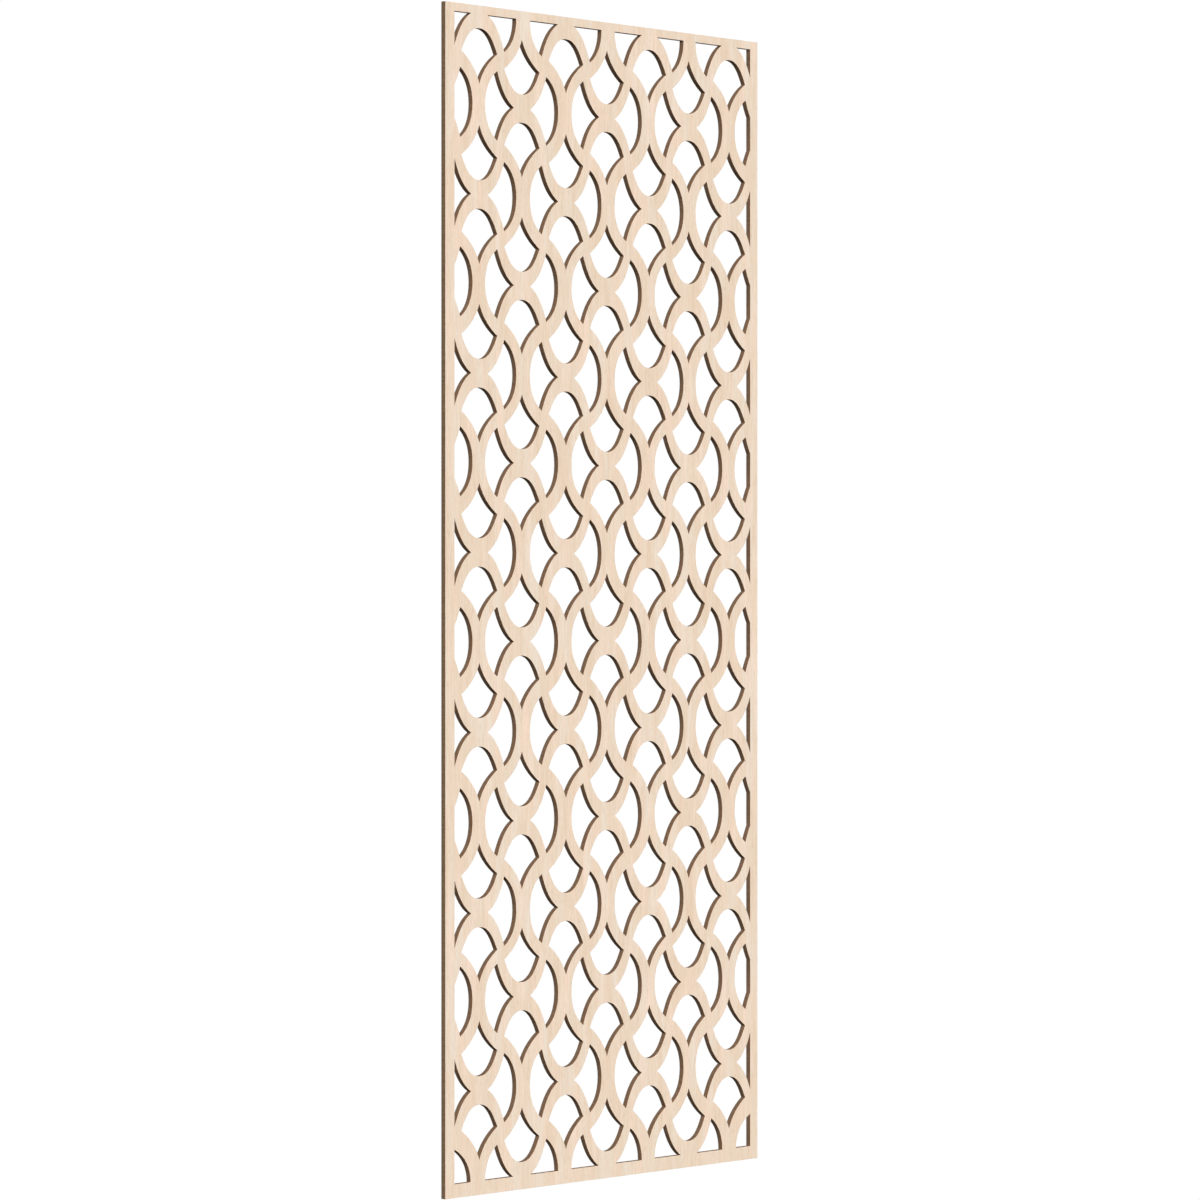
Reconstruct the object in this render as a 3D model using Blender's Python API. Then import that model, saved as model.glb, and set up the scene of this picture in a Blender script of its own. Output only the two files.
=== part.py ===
"""A fretwork panel: one sheet of pale wood, cut right through in a net of curved straps.

All sizes are in metres and +Z is up. The sheet's back face lies in the plane y = 0 and
its front faces -Y. The origin is on the back face, in the middle of the top rail.
"""

import bmesh
import bpy

# The sheet
PANEL_WIDTH = 0.800
PANEL_HEIGHT = 2.000
SHEET_THICKNESS = 0.0095

# The uncut rails that are left round the pattern
LEFT_RAIL = 0.0220
RIGHT_RAIL = 0.0200
TOP_RAIL = 0.0142
BOTTOM_RAIL = 0.0232

# Where the straps cross, across the sheet from its left edge. Rows of four crossings
# and rows of three alternate, and those of one stand half way between those of the
# other. Beside each row of three, a crossing that falls off the sheet lends its lens.
CROSSINGS_OF_FOUR = (0.0819, 0.2959, 0.5099, 0.7224)
CROSSINGS_OF_THREE = (0.1860, 0.4000, 0.6139)
CROSSINGS_OFF_THE_SHEET = (-0.0249, 0.8278)

# How far each row of three lies below the row of four above it, a little unevenly, and
# how far each row of four lies below the row of three above it. The first row lies on
# the edge of the top rail, and the last about on the edge of the bottom rail.
DROPS_TO_THREE = (0.1513, 0.1486, 0.1491, 0.1506, 0.1515, 0.1464, 0.1534)
DROP_TO_FOUR = 0.1521

# A shield above a crossing, as one half of its outline: across, up
SHIELD_FOOT = (0.0, 0.0239)
SHIELD_FOOT_HANDLE = (0.0219, 0.0239)
SHIELD_HIP_HANDLE = (0.0331, 0.0416)
SHIELD_CORNER = (0.0435, 0.0645)
SHIELD_SHOULDER_HANDLE = (0.0210, 0.0789)
SHIELD_NECK_HANDLE = (0.0065, 0.0980)
SHIELD_TIP = (0.0, 0.1168)

# A lens beside a crossing, as the upper half of its outline: across, up
LENS_CUSP = (0.0200, 0.0)
LENS_CUSP_HANDLE = (0.0402, 0.0114)
LENS_INNER_HANDLE = (0.0516, 0.0330)
LENS_HORN = (0.0606, 0.0588)
LENS_OUTER_HANDLE = (0.0713, 0.0518)
LENS_BACK_HANDLE = (0.0902, 0.0350)
LENS_BACK = (0.0902, 0.0)

# In the bottom corners, a plain arch that leans on the side rail takes the lens's place
CORNER_ARCH_WIDTH = 0.0390

# Each curved side of an opening is drawn with this many straight steps. Two outline
# points nearer than the smallest step are one point, and a smaller opening isn't cut.
STEPS_PER_SIDE = 3
SMALLEST_STEP = 0.0005
SMALLEST_OPENING = 0.0001

WOOD_COLOUR = (0.84, 0.68, 0.51, 1.0)
WOOD_ROUGHNESS = 0.62


def curve_points(*corners):
    """Points along a cubic curve with these four corners, from its start to before its end."""
    points = []
    for step in range(STEPS_PER_SIDE):
        t = step / STEPS_PER_SIDE
        weights = ((1 - t) ** 3, 3 * t * (1 - t) ** 2, 3 * t * t * (1 - t), t ** 3)
        across = sum(weight * corner[0] for weight, corner in zip(weights, corners))
        up = sum(weight * corner[1] for weight, corner in zip(weights, corners))
        points.append((across, up))
    return points


def shield_outline():
    """The opening above a crossing: round below, drawn out to a point above."""
    round_side = curve_points(SHIELD_FOOT, SHIELD_FOOT_HANDLE, SHIELD_HIP_HANDLE, SHIELD_CORNER)
    pointed_side = curve_points(SHIELD_CORNER, SHIELD_SHOULDER_HANDLE, SHIELD_NECK_HANDLE,
                                SHIELD_TIP)
    right_half = round_side + pointed_side
    left_half = [(-across, up) for across, up in reversed(right_half[1:])]
    return right_half + [SHIELD_TIP] + left_half


def lens_back_side():
    """The upper half of a lens's round back, from its horn down to its middle."""
    curve = curve_points(LENS_HORN, LENS_OUTER_HANDLE, LENS_BACK_HANDLE, LENS_BACK)
    return curve + [LENS_BACK]


def lens_outline():
    """The opening to the right of a crossing: two hollow sides in a cusp, and a round back."""
    inner_side = curve_points(LENS_CUSP, LENS_CUSP_HANDLE, LENS_INNER_HANDLE, LENS_HORN)
    upper_half = inner_side + lens_back_side()
    lower_half = [(across, -up) for across, up in reversed(upper_half[1:-1])]
    return upper_half + lower_half


def corner_arches(height):
    """The openings in the bottom corners: a lens's round back, widened out to the rail."""
    stretch = CORNER_ARCH_WIDTH / (LENS_BACK[0] - LENS_HORN[0])
    arch = [(stretch * (across - LENS_HORN[0]), height + up) for across, up in lens_back_side()]
    arch.append((0.0, height))
    left = [(LEFT_RAIL + across, up) for across, up in arch]
    right = [(PANEL_WIDTH - RIGHT_RAIL - across, up) for across, up in arch]
    return [left, right]


def cut_at(outline, axis, limit, keep_below):
    """The part of an outline on one side of a straight line across the given axis."""
    side = 1 if keep_below else -1
    kept = []
    for here, there in zip(outline, outline[1:] + outline[:1]):
        here_inside = side * (limit - here[axis]) >= 0
        there_inside = side * (limit - there[axis]) >= 0
        if here_inside:
            kept.append(here)
        if here_inside != there_inside:
            share = (limit - here[axis]) / (there[axis] - here[axis])
            kept.append(tuple(a + share * (b - a) for a, b in zip(here, there)))
    return kept


def without_short_steps(outline):
    """The outline with points left out that all but coincide with the one before."""
    kept = []
    for point in outline:
        previous = kept[-1] if kept else outline[-1]
        step = max(abs(point[0] - previous[0]), abs(point[1] - previous[1]))
        if step > SMALLEST_STEP:
            kept.append(point)
    return kept


def area_of(outline):
    """The area inside an outline, whichever way round it runs."""
    doubled = 0.0
    for here, there in zip(outline, outline[1:] + outline[:1]):
        doubled += here[0] * there[1] - there[0] * here[1]
    return abs(doubled) / 2


def motif_at(place, height):
    """The four openings round a crossing: shields above and below, lenses at the sides."""
    outlines = []
    for sign in (1, -1):
        outlines.append([(place + x, height + sign * y) for x, y in shield_outline()])
        outlines.append([(place + sign * x, height + y) for x, y in lens_outline()])
    return outlines


def pattern():
    """Every opening's outline before it is cut off at the rails, row by row from the top."""
    outlines = []
    height = PANEL_HEIGHT - TOP_RAIL
    for drop in DROPS_TO_THREE:
        for place in CROSSINGS_OF_FOUR:
            outlines += motif_at(place, height)
        height -= drop
        is_lowest = height < DROP_TO_FOUR
        places = CROSSINGS_OF_THREE if is_lowest else CROSSINGS_OF_THREE + CROSSINGS_OFF_THE_SHEET
        for place in places:
            outlines += motif_at(place, height)
        if is_lowest:
            outlines += corner_arches(height)
        height -= DROP_TO_FOUR
    return outlines


def openings():
    """Every opening's outline, cut off at the rails."""
    limits = ((0, LEFT_RAIL, False), (0, PANEL_WIDTH - RIGHT_RAIL, True),
              (1, BOTTOM_RAIL, False), (1, PANEL_HEIGHT - TOP_RAIL, True))
    cut_outlines = []
    for outline in pattern():
        for axis, limit, keep_below in limits:
            outline = cut_at(outline, axis, limit, keep_below)
        outline = without_short_steps(outline)
        if area_of(outline) > SMALLEST_OPENING:
            cut_outlines.append(outline)
    return cut_outlines


def add_loop(mesh, outline):
    """A closed loop of edges in the plane y = 0, shifted to the panel's origin."""
    corners = []
    for across, up in outline:
        x = across - PANEL_WIDTH / 2
        z = up - PANEL_HEIGHT + TOP_RAIL / 2
        corners.append(mesh.verts.new((x, 0.0, z)))
    for here, there in zip(corners, corners[1:] + corners[:1]):
        mesh.edges.new((here, there))


def pale_wood():
    """Pale, close-grained wood with a dull sanded face."""
    material = bpy.data.materials.new("pale_wood")
    material.use_nodes = True
    shader = material.node_tree.nodes["Principled BSDF"]
    shader.inputs["Base Color"].default_value = WOOD_COLOUR
    shader.inputs["Roughness"].default_value = WOOD_ROUGHNESS
    shader.inputs["Metallic"].default_value = 0.0
    material.diffuse_color = WOOD_COLOUR
    return material


def fretwork_panel():
    """The whole panel: the sheet's outline and its openings, filled and given thickness."""
    mesh = bmesh.new()
    sheet = [(0.0, 0.0), (PANEL_WIDTH, 0.0), (PANEL_WIDTH, PANEL_HEIGHT), (0.0, PANEL_HEIGHT)]
    for outline in [sheet] + openings():
        add_loop(mesh, outline)
    bmesh.ops.triangle_fill(mesh, edges=mesh.edges[:], normal=(0, 1, 0), use_beauty=True)
    front = bmesh.ops.extrude_face_region(mesh, geom=mesh.faces[:])["geom"]
    front_corners = [part for part in front if isinstance(part, bmesh.types.BMVert)]
    bmesh.ops.translate(mesh, verts=front_corners, vec=(0, -SHEET_THICKNESS, 0))
    bmesh.ops.recalc_face_normals(mesh, faces=mesh.faces[:])
    data = bpy.data.meshes.new("fretwork_panel")
    mesh.to_mesh(data)
    mesh.free()
    data.materials.append(pale_wood())
    panel = bpy.data.objects.new("fretwork_panel", data)
    bpy.context.scene.collection.objects.link(panel)
    return panel


for leftover in list(bpy.data.objects):
    bpy.data.objects.remove(leftover, do_unlink=True)

fretwork_panel()
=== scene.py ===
import math

import bpy
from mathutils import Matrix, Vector


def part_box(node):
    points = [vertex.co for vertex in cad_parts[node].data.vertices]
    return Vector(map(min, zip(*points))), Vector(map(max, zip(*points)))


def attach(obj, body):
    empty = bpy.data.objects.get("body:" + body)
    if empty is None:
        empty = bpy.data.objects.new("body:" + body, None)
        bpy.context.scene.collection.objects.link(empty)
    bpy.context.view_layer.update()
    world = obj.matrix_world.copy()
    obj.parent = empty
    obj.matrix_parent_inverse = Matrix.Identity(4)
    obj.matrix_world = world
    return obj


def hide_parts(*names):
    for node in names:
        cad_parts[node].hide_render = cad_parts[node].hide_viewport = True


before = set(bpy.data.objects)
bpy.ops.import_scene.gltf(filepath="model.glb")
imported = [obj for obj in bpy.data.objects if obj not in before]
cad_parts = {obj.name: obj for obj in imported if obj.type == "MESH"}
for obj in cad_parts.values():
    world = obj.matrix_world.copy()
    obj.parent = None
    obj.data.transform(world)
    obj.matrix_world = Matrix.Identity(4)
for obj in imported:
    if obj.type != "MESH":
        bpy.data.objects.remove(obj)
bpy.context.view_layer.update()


# The fretwork panel: one sheet of pale maple, 9.5 mm thick, in which a cutter has left a
# net of curved straps inside four plain rails. Nothing is fixed to it. Its faces are
# sanded, its arrises a little eased, and its cut edges browned by the heat of the cutter.

# The sheet and its rails, in metres, across and up from the sheet's lower left corner
lowest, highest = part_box("fretwork_panel")
SHEET_WIDTH = highest.x - lowest.x
SHEET_HEIGHT = highest.z - lowest.z
SHEET_THICKNESS = highest.y - lowest.y
LEFT_RAIL = 0.0220
RIGHT_RAIL = 0.0200
TOP_RAIL = 0.0142
BOTTOM_RAIL = 0.0232

# Where the straps cross: rows of four crossings and rows of three by turns, with a
# crossing off each side of the sheet beside a row of three
CROSSINGS_OF_FOUR = (0.0819, 0.2959, 0.5099, 0.7224)
CROSSINGS_OF_THREE = (0.1860, 0.4000, 0.6139)
CROSSINGS_OFF_THE_SHEET = (-0.0249, 0.8278)
DROPS_TO_THREE = (0.1513, 0.1486, 0.1491, 0.1506, 0.1515, 0.1464, 0.1534)
DROP_TO_FOUR = 0.1521

# Half of a shield, above a crossing, and half of a lens, beside it: the corners of each
# curved side, across and up from the crossing
SHIELD_FOOT = (0.0, 0.0239)
SHIELD_FOOT_HANDLE = (0.0219, 0.0239)
SHIELD_HIP_HANDLE = (0.0331, 0.0416)
SHIELD_CORNER = (0.0435, 0.0645)
SHIELD_SHOULDER_HANDLE = (0.0210, 0.0789)
SHIELD_NECK_HANDLE = (0.0065, 0.0980)
SHIELD_TIP = (0.0, 0.1168)
LENS_CUSP = (0.0200, 0.0)
LENS_CUSP_HANDLE = (0.0402, 0.0114)
LENS_INNER_HANDLE = (0.0516, 0.0330)
LENS_HORN = (0.0606, 0.0588)
LENS_OUTER_HANDLE = (0.0713, 0.0518)
LENS_BACK_HANDLE = (0.0902, 0.0350)
LENS_BACK = (0.0902, 0.0)
STEPS_PER_SIDE = 10

# In the bottom corners a lens's round back is stretched, and leans on the side rail. Its
# horn is sunk a hair into the rail, so that it meets the rail's edge in one clean corner.
CORNER_ARCH_WIDTH = 0.0390
CORNER_ARCH_SUNK = 0.0002

# How far the cutter reaches past each face, and how near two outline points are one point
PAST_THE_FACES = 0.002
SAME_POINT = 0.00001

# How wide an eased arris is, and the least turn from one surface to the next that is eased
ARRIS = 0.0002
ARRIS_ANGLE = math.radians(40)

# The face's figure: how wide and deep its marks are across the grain, and how long along
# it. Real fibres are 0.1 mm wide, too fine to show, so bundles of them 3 mm wide are
# drawn. The growth rings lie nearly flat in the sheet, and show as soft bands.
FIBRE_SIZE = (0.003, 0.003, 0.045)
RING_SIZE = (0.018, 0.018, 0.180)
MOTTLE_SIZE = (0.0025, 0.0025, 0.006)
FLECK_SIZE = (0.0015, 0.0015, 0.012)
PINKISH_CREAM = "#F4DCC8"
GREYISH_CREAM = "#ECDFCE"
TAN_BAND = "#E5CDB3"
FLECK_BROWN = "#D2AE8C"

# The cut edge. The cutter's own lines are 0.2 mm apart, too fine to show, and are drawn
# 3 mm apart. The walls of the openings, which begin further in than the sheet's sides, get painted
# shade that makes them darker than the sides.
CUTTER_LINE_SIZE = (0.003, 0.020, 0.003)
BROWN_AT_BACK = "#7E6B56"
BROWN_AT_FRONT = "#8D7054"
PAINTED_SHADE_IN_OPENING = "#F9F1F2"
SIDE_ENDS = 0.005
OPENING_BEGINS = 0.010


def linear(hex_colour):
    """The linear colour of an sRGB hex value."""
    channels = [int(hex_colour[i:i + 2], 16) / 255 for i in (1, 3, 5)]
    return (*[c / 12.92 if c <= 0.04045 else ((c + 0.055) / 1.055) ** 2.4 for c in channels], 1)


def add_node(tree, kind, inputs=(), settings=()):
    """A new node. An input is given a value, a socket to be fed from, or a list of sockets."""
    node = tree.nodes.new(kind)
    for name, value in dict(settings).items():
        setattr(node, name, value)
    for name, given in dict(inputs).items():
        for source in given if isinstance(given, list) else [given]:
            if isinstance(source, bpy.types.NodeSocket):
                tree.links.new(source, node.inputs[name])
            else:
                node.inputs[name].default_value = source
    return node


def sanded_maple():
    """Sanded hard maple: cream, drifting pinkish, greyish and tan, with faint upright fibres.

    It gives the eye a dull, even, close-grained face that shows its grain only near by.
    """
    material = bpy.data.materials.new("sanded_maple")
    material.use_nodes = True
    tree = material.node_tree
    wood = tree.nodes["Principled BSDF"]
    wood.inputs["Roughness"].default_value = 0.58
    wood.inputs["IOR"].default_value = 1.5
    place = add_node(tree, "ShaderNodeTexCoord").outputs["Object"]
    fibre_place = add_node(tree, "ShaderNodeMapping", {"Vector": place, "Scale": FIBRE_SIZE},
                           {"vector_type": "TEXTURE"})
    fibres = add_node(tree, "ShaderNodeTexNoise", {
        "Vector": fibre_place.outputs[0], "Scale": 1.0, "Detail": 2.0, "Roughness": 0.6})
    ring_place = add_node(tree, "ShaderNodeMapping", {"Vector": place, "Scale": RING_SIZE},
                          {"vector_type": "TEXTURE"})
    rings = add_node(tree, "ShaderNodeTexNoise", {
        "Vector": ring_place.outputs[0], "Scale": 1.0, "Detail": 3.0, "Distortion": 0.4})
    # The fibres wave in and out of the face, which mottles it
    mottle_place = add_node(tree, "ShaderNodeMapping", {"Vector": place, "Scale": MOTTLE_SIZE},
                            {"vector_type": "TEXTURE"})
    mottle = add_node(tree, "ShaderNodeTexNoise", {
        "Vector": mottle_place.outputs[0], "Scale": 1.0, "Detail": 1.0})
    # Rays end in the face as faint brown flecks
    fleck_place = add_node(tree, "ShaderNodeMapping", {"Vector": place, "Scale": FLECK_SIZE},
                           {"vector_type": "TEXTURE"})
    flecks = add_node(tree, "ShaderNodeTexNoise", {
        "Vector": fleck_place.outputs[0], "Scale": 1.0, "Detail": 0.0})
    streaks = add_node(tree, "ShaderNodeMix", {
        "Factor": 0.5, "A": rings.outputs["Fac"], "B": fibres.outputs["Fac"]})
    figure = add_node(tree, "ShaderNodeMix", {
        "Factor": 0.16, "A": streaks.outputs[0], "B": mottle.outputs["Fac"]})
    paleness = add_node(tree, "ShaderNodeMapRange", {
        "Value": figure.outputs[0], "From Min": 0.38, "From Max": 0.62})
    fleck_strength = add_node(tree, "ShaderNodeMapRange", {
        "Value": flecks.outputs["Fac"], "From Min": 0.66, "From Max": 0.80, "To Max": 0.3})
    tints = add_node(tree, "ShaderNodeSeparateXYZ", {"Vector": rings.outputs["Color"]})
    tint = add_node(tree, "ShaderNodeMapRange", {
        "Value": tints.outputs["Y"], "From Min": 0.36, "From Max": 0.64})
    early_wood = add_node(tree, "ShaderNodeMix", {
        "Factor": tint.outputs[0], 6: linear(PINKISH_CREAM), 7: linear(GREYISH_CREAM)},
        {"data_type": "RGBA"})
    wood_colour = add_node(tree, "ShaderNodeMix", {
        "Factor": paleness.outputs[0], 6: linear(TAN_BAND), 7: early_wood.outputs[2]},
        {"data_type": "RGBA"})
    flecked = add_node(tree, "ShaderNodeMix", {
        "Factor": fleck_strength.outputs[0], 6: wood_colour.outputs[2], 7: linear(FLECK_BROWN)},
        {"data_type": "RGBA"})
    tree.links.new(flecked.outputs[2], wood.inputs["Base Color"])
    bump = add_node(tree, "ShaderNodeBump", {
        "Height": fibres.outputs["Fac"], "Strength": 0.25, "Distance": 0.0001})
    tree.links.new(bump.outputs[0], wood.inputs["Normal"])
    return material


def browned_maple():
    """The cut edge: maple browned by the heat of the cutter, dull, with lines across it.

    It gives the eye a brown line inside each opening, a little warmer near the front face and
    darkened by painted shade, and a paler one down the sheet's own sides.
    """
    material = bpy.data.materials.new("heat_browned_maple")
    material.use_nodes = True
    tree = material.node_tree
    edge = tree.nodes["Principled BSDF"]
    edge.inputs["Roughness"].default_value = 0.85
    edge.inputs["IOR"].default_value = 1.5
    edge.inputs["Specular IOR Level"].default_value = 0.2
    place = add_node(tree, "ShaderNodeTexCoord").outputs["Object"]
    from_back = add_node(tree, "ShaderNodeSeparateXYZ", {"Vector": place})
    depth = add_node(tree, "ShaderNodeMapRange", {
        "Value": from_back.outputs["Y"], "From Max": -SHEET_THICKNESS})
    burn = add_node(tree, "ShaderNodeValToRGB", {"Fac": depth.outputs["Result"]})
    burn.color_ramp.elements[0].position = 0.1
    burn.color_ramp.elements[0].color = linear(BROWN_AT_BACK)
    burn.color_ramp.elements[1].position = 0.9
    burn.color_ramp.elements[1].color = linear(BROWN_AT_FRONT)
    # How far in from the nearest of the sheet's sides a place lies tells a side from an opening
    off_middle = add_node(tree, "ShaderNodeVectorMath", {0: place, 1: (lowest + highest) / 2},
                          {"operation": "SUBTRACT"})
    either_way = add_node(tree, "ShaderNodeVectorMath", {0: off_middle.outputs[0]},
                          {"operation": "ABSOLUTE"})
    inwards = add_node(tree, "ShaderNodeVectorMath", {
        0: (highest - lowest) / 2, 1: either_way.outputs[0]}, {"operation": "SUBTRACT"})
    across_and_up = add_node(tree, "ShaderNodeSeparateXYZ", {"Vector": inwards.outputs[0]})
    nearest = add_node(tree, "ShaderNodeMath", {
        0: across_and_up.outputs["X"], 1: across_and_up.outputs["Z"]}, {"operation": "MINIMUM"})
    # Painted shade: from where the openings begin, the walls are multiplied darker than the
    # sheet's sides
    painted_shade_amount = add_node(tree, "ShaderNodeMapRange", {
        "Value": nearest.outputs[0], "From Min": SIDE_ENDS, "From Max": OPENING_BEGINS})
    burnt_with_painted_shade = add_node(tree, "ShaderNodeMix", {
        "Factor": painted_shade_amount.outputs["Result"], 6: burn.outputs["Color"],
        7: linear(PAINTED_SHADE_IN_OPENING)}, {"data_type": "RGBA", "blend_type": "MULTIPLY"})
    line_place = add_node(tree, "ShaderNodeMapping", {"Vector": place, "Scale": CUTTER_LINE_SIZE},
                          {"vector_type": "TEXTURE"})
    lines = add_node(tree, "ShaderNodeTexNoise", {
        "Vector": line_place.outputs[0], "Scale": 1.0, "Detail": 2.0})
    shade = add_node(tree, "ShaderNodeMapRange", {
        "Value": lines.outputs["Fac"], "From Min": 0.3, "From Max": 0.7,
        "To Min": 0.85, "To Max": 1.15})
    colour = add_node(tree, "ShaderNodeMix", {
        "Factor": 1.0, 6: burnt_with_painted_shade.outputs[2], 7: shade.outputs["Result"]},
        {"data_type": "RGBA", "blend_type": "MULTIPLY"})
    tree.links.new(colour.outputs[2], edge.inputs["Base Color"])
    return material


def crossing_points():
    """A mesh of points only: each crossing, and a corner arch's middle in each lower corner."""
    places = []
    height = SHEET_HEIGHT - TOP_RAIL
    for drop in DROPS_TO_THREE:
        places += [(across, height) for across in CROSSINGS_OF_FOUR]
        height -= drop
        places += [(across, height) for across in CROSSINGS_OF_THREE]
        if height > DROP_TO_FOUR:
            places += [(across, height) for across in CROSSINGS_OFF_THE_SHEET]
            height -= DROP_TO_FOUR
    stretch = CORNER_ARCH_WIDTH / (LENS_BACK[0] - LENS_HORN[0])
    reach = stretch * LENS_HORN[0] + CORNER_ARCH_SUNK
    corners = [(LEFT_RAIL - reach, height), (SHEET_WIDTH - RIGHT_RAIL + reach, height)]
    mesh = bpy.data.meshes.new("crossings")
    mesh.from_pydata([(across, up, 0) for across, up in places + corners], [], [])
    is_corner = mesh.attributes.new("corner_arch", "BOOLEAN", "POINT")
    is_corner.data.foreach_set("value", [False] * len(places) + [True] * len(corners))
    return mesh


def add_opening(tree, steps, sides, mirror):
    """One opening's cutter, drawn flat: two curved sides and their mirror image, filled."""
    curves = []
    for start, start_handle, end_handle, end in sides:
        curves.append(add_node(tree, "GeometryNodeCurvePrimitiveBezierSegment", {
            "Resolution": steps, "Start": (*start, 0), "Start Handle": (*start_handle, 0),
            "End Handle": (*end_handle, 0), "End": (*end, 0)}).outputs[0])
    half = add_node(tree, "GeometryNodeJoinGeometry", {"Geometry": curves})
    mirrored = add_node(tree, "GeometryNodeTransform", {
        "Geometry": half.outputs[0], "Scale": mirror})
    whole = add_node(tree, "GeometryNodeJoinGeometry", {
        "Geometry": [half.outputs[0], mirrored.outputs[0]]})
    edges = add_node(tree, "GeometryNodeCurveToMesh", {"Curve": whole.outputs[0]})
    welded = add_node(tree, "GeometryNodeMergeByDistance", {
        "Geometry": edges.outputs[0], "Distance": SAME_POINT})
    loop = add_node(tree, "GeometryNodeMeshToCurve", {"Mesh": welded.outputs[0]})
    fill = add_node(tree, "GeometryNodeFillCurve", {"Curve": loop.outputs[0]}, {"mode": "NGONS"})
    return fill.outputs[0]


def add_pattern(tree, given):
    """Every opening's cutter, drawn flat: four round each crossing, and the corner arches."""
    shield = add_opening(tree, given["Steps per side"], (
        (SHIELD_FOOT, SHIELD_FOOT_HANDLE, SHIELD_HIP_HANDLE, SHIELD_CORNER),
        (SHIELD_CORNER, SHIELD_SHOULDER_HANDLE, SHIELD_NECK_HANDLE, SHIELD_TIP)), (-1, 1, 1))
    lens = add_opening(tree, given["Steps per side"], (
        (LENS_CUSP, LENS_CUSP_HANDLE, LENS_INNER_HANDLE, LENS_HORN),
        (LENS_HORN, LENS_OUTER_HANDLE, LENS_BACK_HANDLE, LENS_BACK)), (1, -1, 1))
    half_turn = (0, 0, math.pi)
    pair = add_node(tree, "GeometryNodeJoinGeometry", {"Geometry": [shield, lens]})
    other_pair = add_node(tree, "GeometryNodeTransform", {
        "Geometry": pair.outputs[0], "Rotation": half_turn})
    four = add_node(tree, "GeometryNodeJoinGeometry", {
        "Geometry": [pair.outputs[0], other_pair.outputs[0]]})
    other_lens = add_node(tree, "GeometryNodeTransform", {
        "Geometry": lens, "Rotation": half_turn})
    lenses = add_node(tree, "GeometryNodeJoinGeometry", {
        "Geometry": [lens, other_lens.outputs[0]]})

    in_corner = add_node(tree, "GeometryNodeInputNamedAttribute", {"Name": "corner_arch"},
                         {"data_type": "BOOLEAN"}).outputs["Attribute"]
    at_crossing = add_node(tree, "FunctionNodeBooleanMath", {0: in_corner},
                           {"operation": "NOT"}).outputs[0]
    openings = add_node(tree, "GeometryNodeInstanceOnPoints", {
        "Points": given["Crossings"], "Selection": at_crossing, "Instance": four.outputs[0]})
    arches = add_node(tree, "GeometryNodeInstanceOnPoints", {
        "Points": given["Crossings"], "Selection": in_corner, "Instance": lenses.outputs[0],
        "Scale": given["Corner arch stretch"]})
    outlines = add_node(tree, "GeometryNodeJoinGeometry", {
        "Geometry": [openings.outputs[0], arches.outputs[0]]})
    drawn = add_node(tree, "GeometryNodeRealizeInstances", {"Geometry": outlines.outputs[0]})
    return drawn.outputs[0]


def add_cutters(tree, drawn, height):
    """The closed blocks that cut the openings, raised from their flat drawings."""
    tops = add_node(tree, "GeometryNodeExtrudeMesh", {
        "Mesh": drawn, "Offset": (0, 0, 1), "Offset Scale": height, "Individual": False})
    bottoms = add_node(tree, "GeometryNodeFlipFaces", {"Mesh": drawn})
    open_cutters = add_node(tree, "GeometryNodeJoinGeometry", {
        "Geometry": [tops.outputs["Mesh"], bottoms.outputs[0]]})
    cutters = add_node(tree, "GeometryNodeMergeByDistance", {
        "Geometry": open_cutters.outputs[0], "Distance": SAME_POINT})
    sunk = add_node(tree, "GeometryNodeTransform", {
        "Geometry": cutters.outputs[0], "Translation": (0, 0, -PAST_THE_FACES)})
    return sunk.outputs[0]


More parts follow.
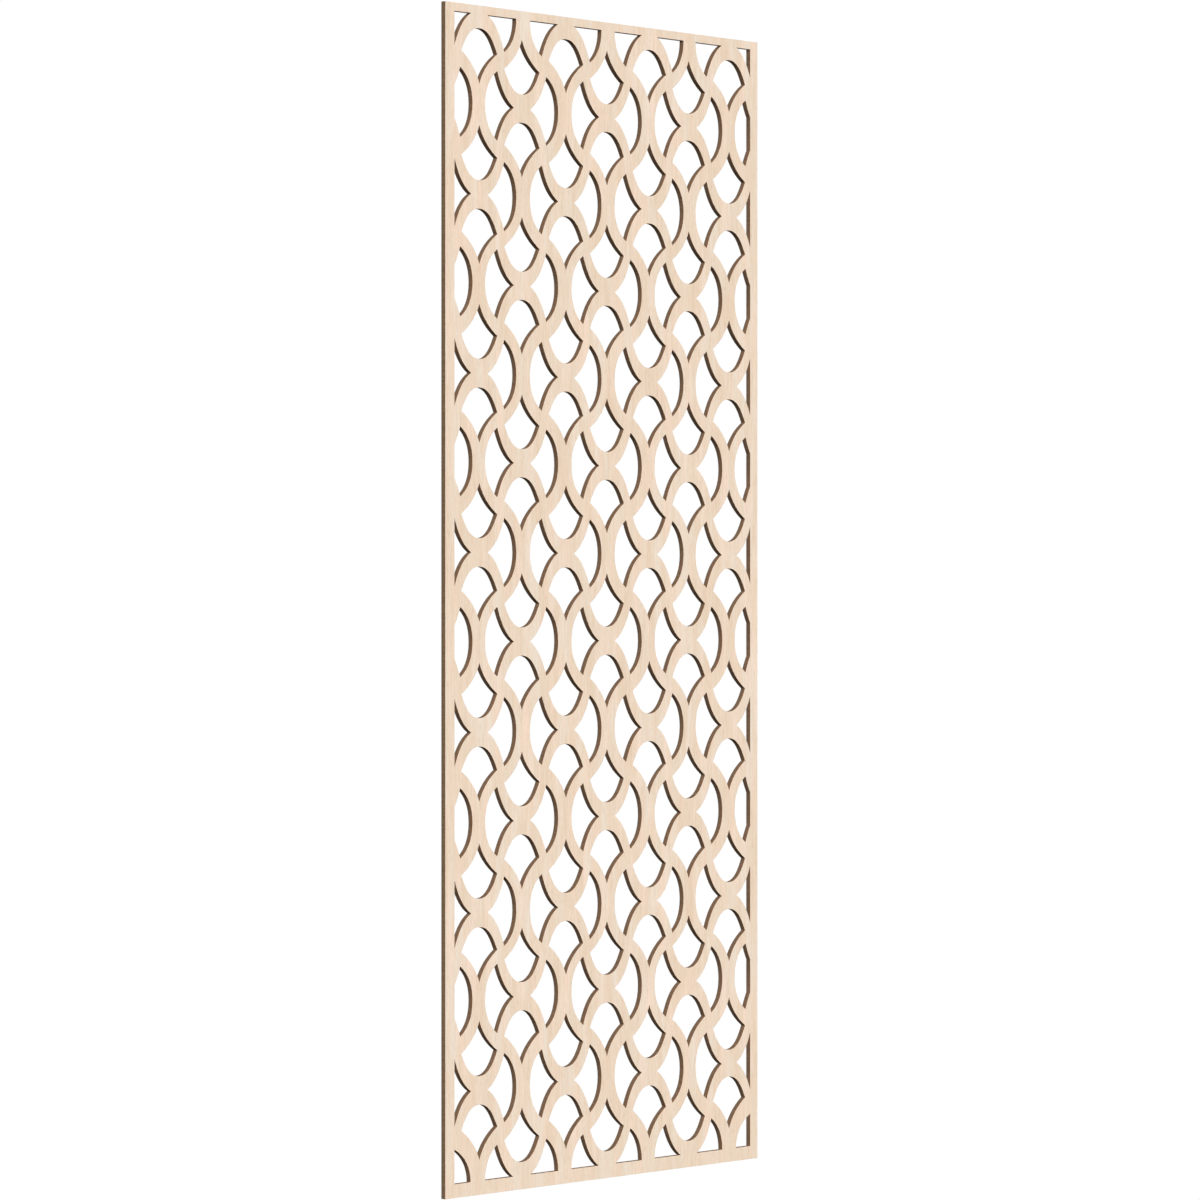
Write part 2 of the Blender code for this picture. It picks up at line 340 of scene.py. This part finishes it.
def fretwork_tree():
    """The tree that cuts the openings round every crossing out of the sheet.

    It cuts the sheet as it lies flat, front face up, and stands it up afterwards.
    """
    tree = bpy.data.node_groups.new("fretwork", "GeometryNodeTree")
    tree.interface.new_socket("Geometry", in_out="OUTPUT", socket_type="NodeSocketGeometry")
    tree.interface.new_socket("Crossings", in_out="INPUT", socket_type="NodeSocketGeometry")
    for name in ("Sheet size", "Sheet middle", "Cut area size", "Cut area middle", "Stand up by",
                 "Corner arch stretch"):
        tree.interface.new_socket(name, in_out="INPUT", socket_type="NodeSocketVector")
    tree.interface.new_socket("Cutter height", in_out="INPUT", socket_type="NodeSocketFloat")
    tree.interface.new_socket("Steps per side", in_out="INPUT", socket_type="NodeSocketInt")
    for name in ("Face", "Cut edge"):
        tree.interface.new_socket(name, in_out="INPUT", socket_type="NodeSocketMaterial")
    given = add_node(tree, "NodeGroupInput").outputs

    cutters = add_cutters(tree, add_pattern(tree, given), given["Cutter height"])
    area = add_node(tree, "GeometryNodeMeshCube", {"Size": given["Cut area size"]})
    cut_area = add_node(tree, "GeometryNodeTransform", {
        "Geometry": area.outputs[0], "Translation": given["Cut area middle"]})
    inside = add_node(tree, "GeometryNodeMeshBoolean", {
        "Mesh 2": [cutters, cut_area.outputs[0]]},
        {"operation": "INTERSECT", "solver": "EXACT"})
    block = add_node(tree, "GeometryNodeMeshCube", {"Size": given["Sheet size"]})
    sheet = add_node(tree, "GeometryNodeTransform", {
        "Geometry": block.outputs[0], "Translation": given["Sheet middle"]})
    faced = add_node(tree, "GeometryNodeSetMaterial", {
        "Geometry": sheet.outputs[0], "Material": given["Face"]})
    browning = add_node(tree, "GeometryNodeSetMaterial", {
        "Geometry": inside.outputs[0], "Material": given["Cut edge"]})
    fretwork = add_node(tree, "GeometryNodeMeshBoolean", {
        "Mesh 1": faced.outputs[0], "Mesh 2": browning.outputs[0]},
        {"operation": "DIFFERENCE", "solver": "EXACT"})

    standing = add_node(tree, "GeometryNodeTransform", {
        "Geometry": fretwork.outputs[0], "Translation": given["Stand up by"],
        "Rotation": (math.pi / 2, 0, 0)})
    # A face looks along Y, and a wall across it
    facing = add_node(tree, "ShaderNodeSeparateXYZ", {
        0: add_node(tree, "GeometryNodeInputNormal").outputs["Normal"]})
    towards_face = add_node(tree, "ShaderNodeMath", {0: facing.outputs["Y"]},
                            {"operation": "ABSOLUTE"})
    is_wall = add_node(tree, "FunctionNodeCompare", {0: towards_face.outputs[0], 1: 0.5},
                       {"operation": "LESS_THAN"})
    smooth = add_node(tree, "GeometryNodeSetShadeSmooth", {"Geometry": standing.outputs[0]})
    plain = add_node(tree, "GeometryNodeRealizeInstances", {"Geometry": smooth.outputs[0]})
    edged = add_node(tree, "GeometryNodeSetMaterial", {
        "Geometry": plain.outputs[0], "Selection": is_wall.outputs[0],
        "Material": given["Cut edge"]})
    add_node(tree, "NodeGroupOutput", {"Geometry": edged.outputs[0]})
    return tree


def give_inputs(modifier, values):
    """Set a Geometry Nodes modifier's inputs, by their names in its tree."""
    for socket in modifier.node_group.interface.items_tree:
        if socket.in_out == "INPUT" and socket.name in values:
            modifier[socket.identifier] = values[socket.name]


cut_width = SHEET_WIDTH - LEFT_RAIL - RIGHT_RAIL
cut_height = SHEET_HEIGHT - TOP_RAIL - BOTTOM_RAIL
blank = bpy.data.objects.new("fretwork_blank", crossing_points())
bpy.context.scene.collection.objects.link(blank)
cutting = blank.modifiers.new("fretwork", "NODES")
cutting.node_group = fretwork_tree()
give_inputs(cutting, {
    "Sheet size": (SHEET_WIDTH, SHEET_HEIGHT, SHEET_THICKNESS),
    "Sheet middle": (SHEET_WIDTH / 2, SHEET_HEIGHT / 2, SHEET_THICKNESS / 2),
    "Cut area size": (cut_width, cut_height, SHEET_THICKNESS + 4 * PAST_THE_FACES),
    "Cut area middle": (LEFT_RAIL + cut_width / 2, BOTTOM_RAIL + cut_height / 2,
                        SHEET_THICKNESS / 2),
    "Stand up by": (lowest.x, highest.y, lowest.z),
    "Corner arch stretch": (CORNER_ARCH_WIDTH / (LENS_BACK[0] - LENS_HORN[0]), 1, 1),
    "Cutter height": SHEET_THICKNESS + 2 * PAST_THE_FACES,
    "Steps per side": STEPS_PER_SIDE,
    "Face": sanded_maple(),
    "Cut edge": browned_maple(),
})
easing = blank.modifiers.new("eased arrises", "BEVEL")
easing.width = ARRIS
easing.segments = 2
easing.limit_method = "ANGLE"
easing.angle_limit = ARRIS_ANGLE
easing.harden_normals = True
splitting = blank.modifiers.new("flat faces in triangles", "TRIANGULATE")
splitting.min_vertices = 5
splitting.keep_custom_normals = True
view = bpy.context.evaluated_depsgraph_get()
finished_mesh = bpy.data.meshes.new_from_object(blank.evaluated_get(view))
# The sheet began as a plain block, whose own slot for a finish is empty
finished_mesh.materials.pop(index=0)
panel = bpy.data.objects.new("fretwork", finished_mesh)
bpy.context.scene.collection.objects.link(panel)
bpy.data.objects.remove(blank)
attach(panel, "root")
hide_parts("fretwork_panel")


# The floor is a plain white board just below the panel's foot. It is evenly bright and
# takes no shadow, so that the panel hangs against plain white from every side.
FLOOR_WIDTH = 60.0
GAP_BELOW_PANEL = 0.002
FULL_WHITE = 1.01


def even_white(strength):
    """A plain white that is as bright everywhere, like an overlit studio backdrop."""
    material = bpy.data.materials.new("overlit_white")
    material.use_nodes = True
    tree = material.node_tree
    tree.nodes.remove(tree.nodes["Principled BSDF"])
    glow = add_node(tree, "ShaderNodeEmission", {"Color": (1, 1, 1, 1), "Strength": strength})
    tree.links.new(glow.outputs[0], tree.nodes["Material Output"].inputs["Surface"])
    return material


half = FLOOR_WIDTH / 2
floor_height = lowest.z - GAP_BELOW_PANEL
floor_mesh = bpy.data.meshes.new("floor")
floor_mesh.from_pydata([(x, y, floor_height) for x, y in
                        ((-half, -half), (half, -half), (half, half), (-half, half))],
                       [], [(0, 1, 2, 3)])
floor_mesh.materials.append(even_white(FULL_WHITE))
floor = bpy.data.objects.new("floor", floor_mesh)
floor.visible_diffuse = False
floor.visible_glossy = False
floor.visible_shadow = False
bpy.context.scene.collection.objects.link(floor)


# The light is plain and soft: one broad lamp high on the left in front, one behind on the
# right that lights but doesn't glint, and a soft grey all round, paler above than below,
# in whose place the camera sees plain white.
KEY_FROM = (-0.445, -0.795, 0.42)
KEY_STRENGTH = 3.55
FILL_FROM = (0.52, 0.85, 0.0)
FILL_STRENGTH = 3.0
LAMP_SPREAD = math.radians(30)
GREY_BELOW = 0.08
GREY_ABOVE = 0.25


def add_lamp(name, towards, strength):
    """A broad far lamp that shines from the given direction."""
    data = bpy.data.lights.new(name, "SUN")
    data.energy = strength
    data.angle = LAMP_SPREAD
    lamp = bpy.data.objects.new(name, data)
    lamp.rotation_euler = Vector(towards).to_track_quat("Z", "Y").to_euler()
    bpy.context.scene.collection.objects.link(lamp)
    return lamp


add_lamp("key", KEY_FROM, KEY_STRENGTH)
fill = add_lamp("fill", FILL_FROM, FILL_STRENGTH)
fill.visible_glossy = False
world = bpy.data.worlds.new("studio")
world.use_nodes = True
sky = world.node_tree
background = sky.nodes["Background"]
rays = add_node(sky, "ShaderNodeLightPath")
direction = add_node(sky, "ShaderNodeSeparateXYZ", {
    "Vector": add_node(sky, "ShaderNodeTexCoord").outputs["Generated"]})
grey = add_node(sky, "ShaderNodeMapRange", {
    "Value": direction.outputs["Z"], "From Min": -1.0, "To Min": GREY_BELOW, "To Max": GREY_ABOVE})
brightness = add_node(sky, "ShaderNodeMapRange", {
    "Value": rays.outputs["Is Camera Ray"], "To Min": grey.outputs["Result"],
    "To Max": FULL_WHITE})
background.inputs["Color"].default_value = (1, 1, 1, 1)
sky.links.new(brightness.outputs["Result"], background.inputs["Strength"])
bpy.context.scene.world = world
bpy.context.scene.view_settings.view_transform = "Standard"


# The camera stands level with the middle of the panel, to its left and well back, and
# looks straight ahead through a long lens.
CAMERA_PLACE = (-6.0784, -5.5629, -0.9925)
CAMERA_TURN = math.radians(-47.5)
LENS_LENGTH = 142.7
FILM_WIDTH = 36.0

camera_data = bpy.data.cameras.new("camera")
camera_data.lens = LENS_LENGTH
camera_data.sensor_width = FILM_WIDTH
camera_data.clip_end = 200.0
camera = bpy.data.objects.new("camera", camera_data)
camera.location = CAMERA_PLACE
camera.rotation_euler = (math.pi / 2, 0, CAMERA_TURN)
bpy.context.scene.collection.objects.link(camera)
bpy.context.scene.camera = camera
